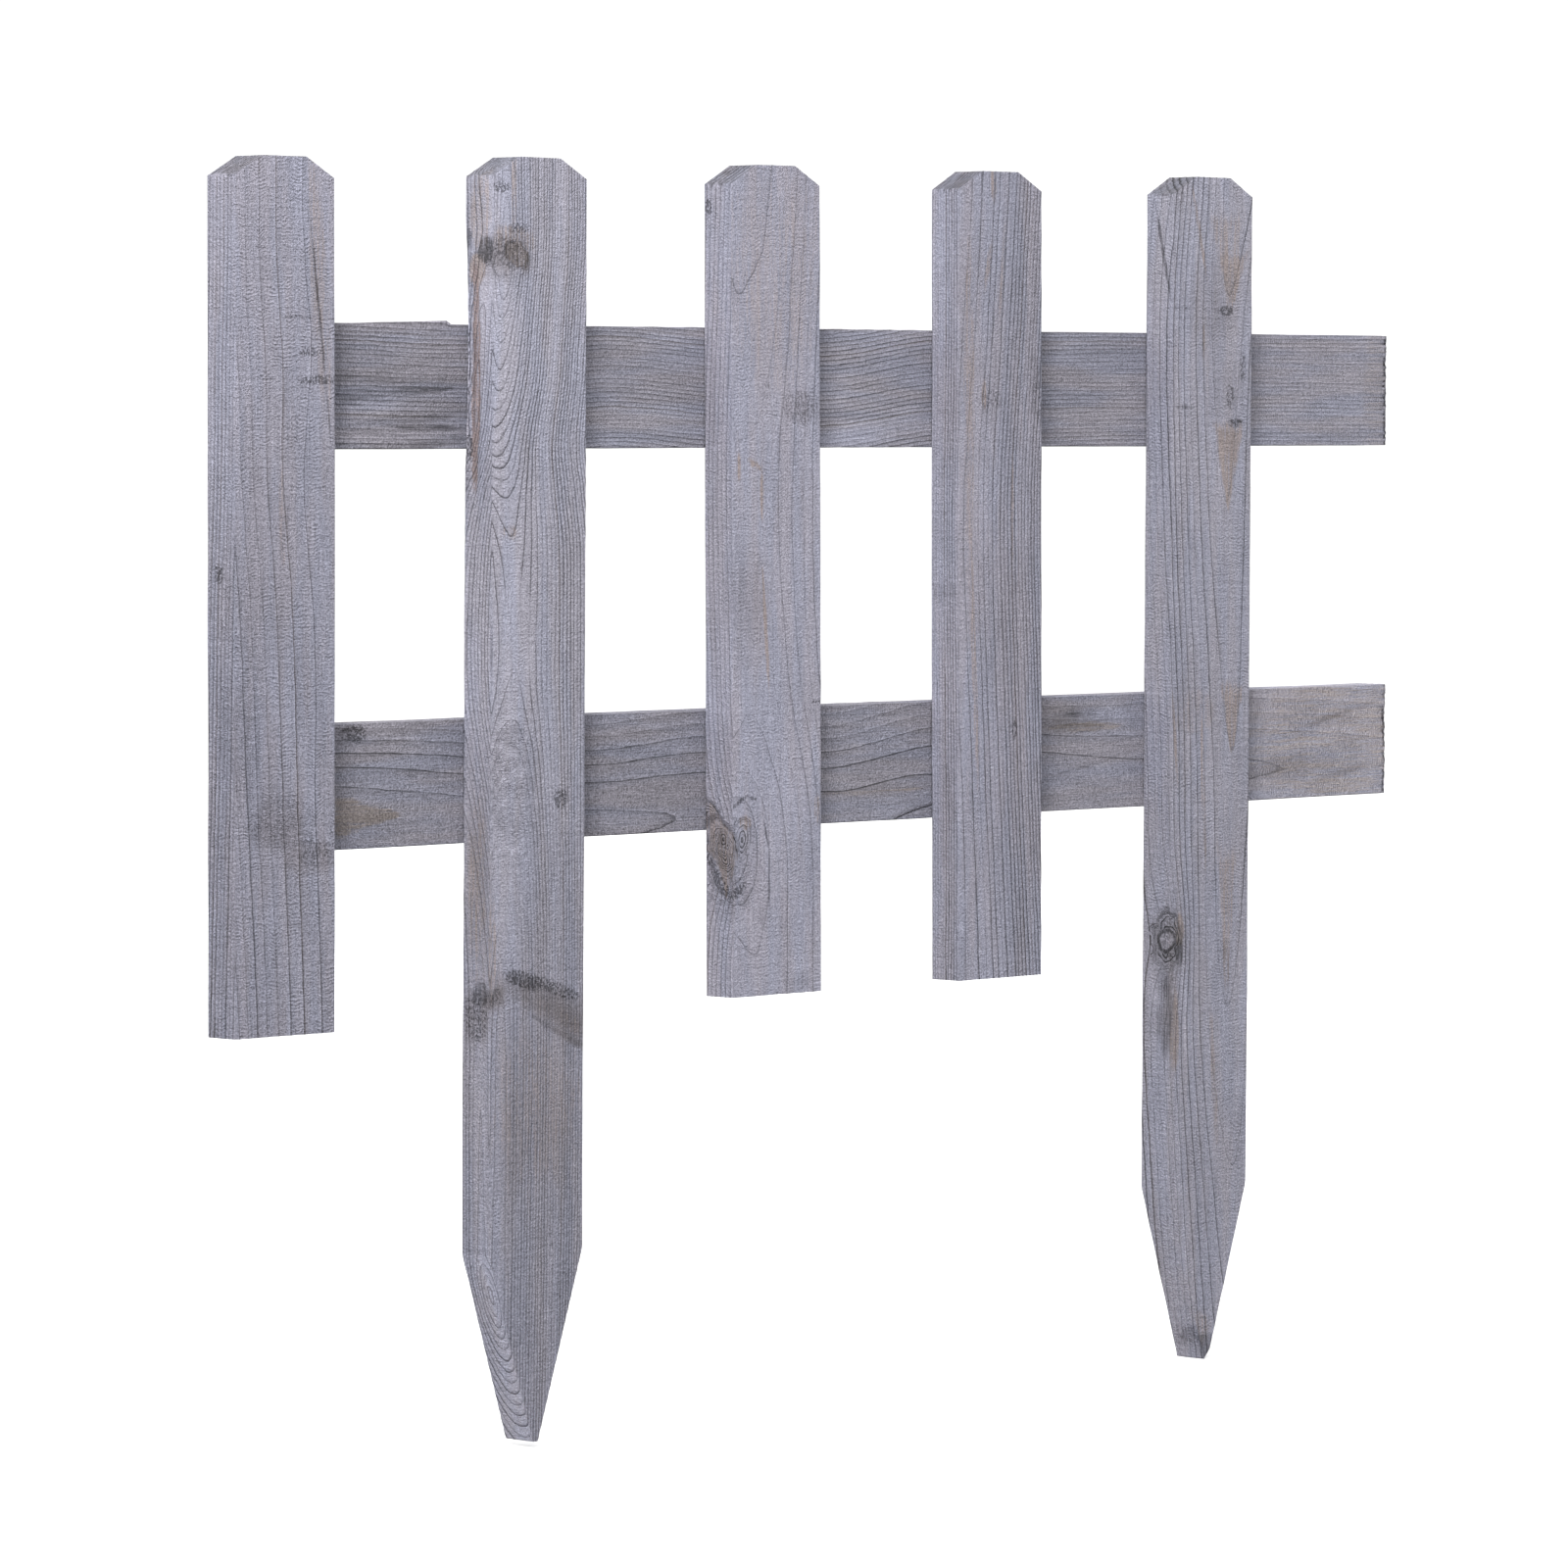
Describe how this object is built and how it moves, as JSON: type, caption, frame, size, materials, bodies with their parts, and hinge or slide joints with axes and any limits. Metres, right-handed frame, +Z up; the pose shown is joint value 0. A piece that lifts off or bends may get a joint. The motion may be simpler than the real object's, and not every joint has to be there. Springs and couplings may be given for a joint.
{
  "type": "wooden bed border fence panel",
  "caption": "Low picket fence panel for edging a garden bed: dog-eared wooden boards fixed in front of two rails, with pointed stakes to drive into the soil.",
  "frame": {"origin": "on the front face of the left stake, on its centre line, at the ground line where the short pickets end", "axes": "+X along the row to the right as seen from the front, +Y from the picket faces to the rails, +Z up"},
  "size_m": [0.8351, 0.038, 0.6063],
  "materials": {
    "picket_wood": "rough-sawn softwood with a thin blue-grey glaze",
    "stake_wood": "rough-sawn softwood with a thin blue-grey glaze, brownish at knots",
    "rail_wood": "rough-sawn softwood with a darker blue-grey glaze"
  },
  "bodies": {
    "root": {"left_picket": "picket_wood", "middle_picket": "picket_wood", "right_picket": "picket_wood", "left_stake": "stake_wood", "right_stake": "stake_wood", "upper_rail": "rail_wood", "lower_rail": "rail_wood"}
  },
  "joints": []
}
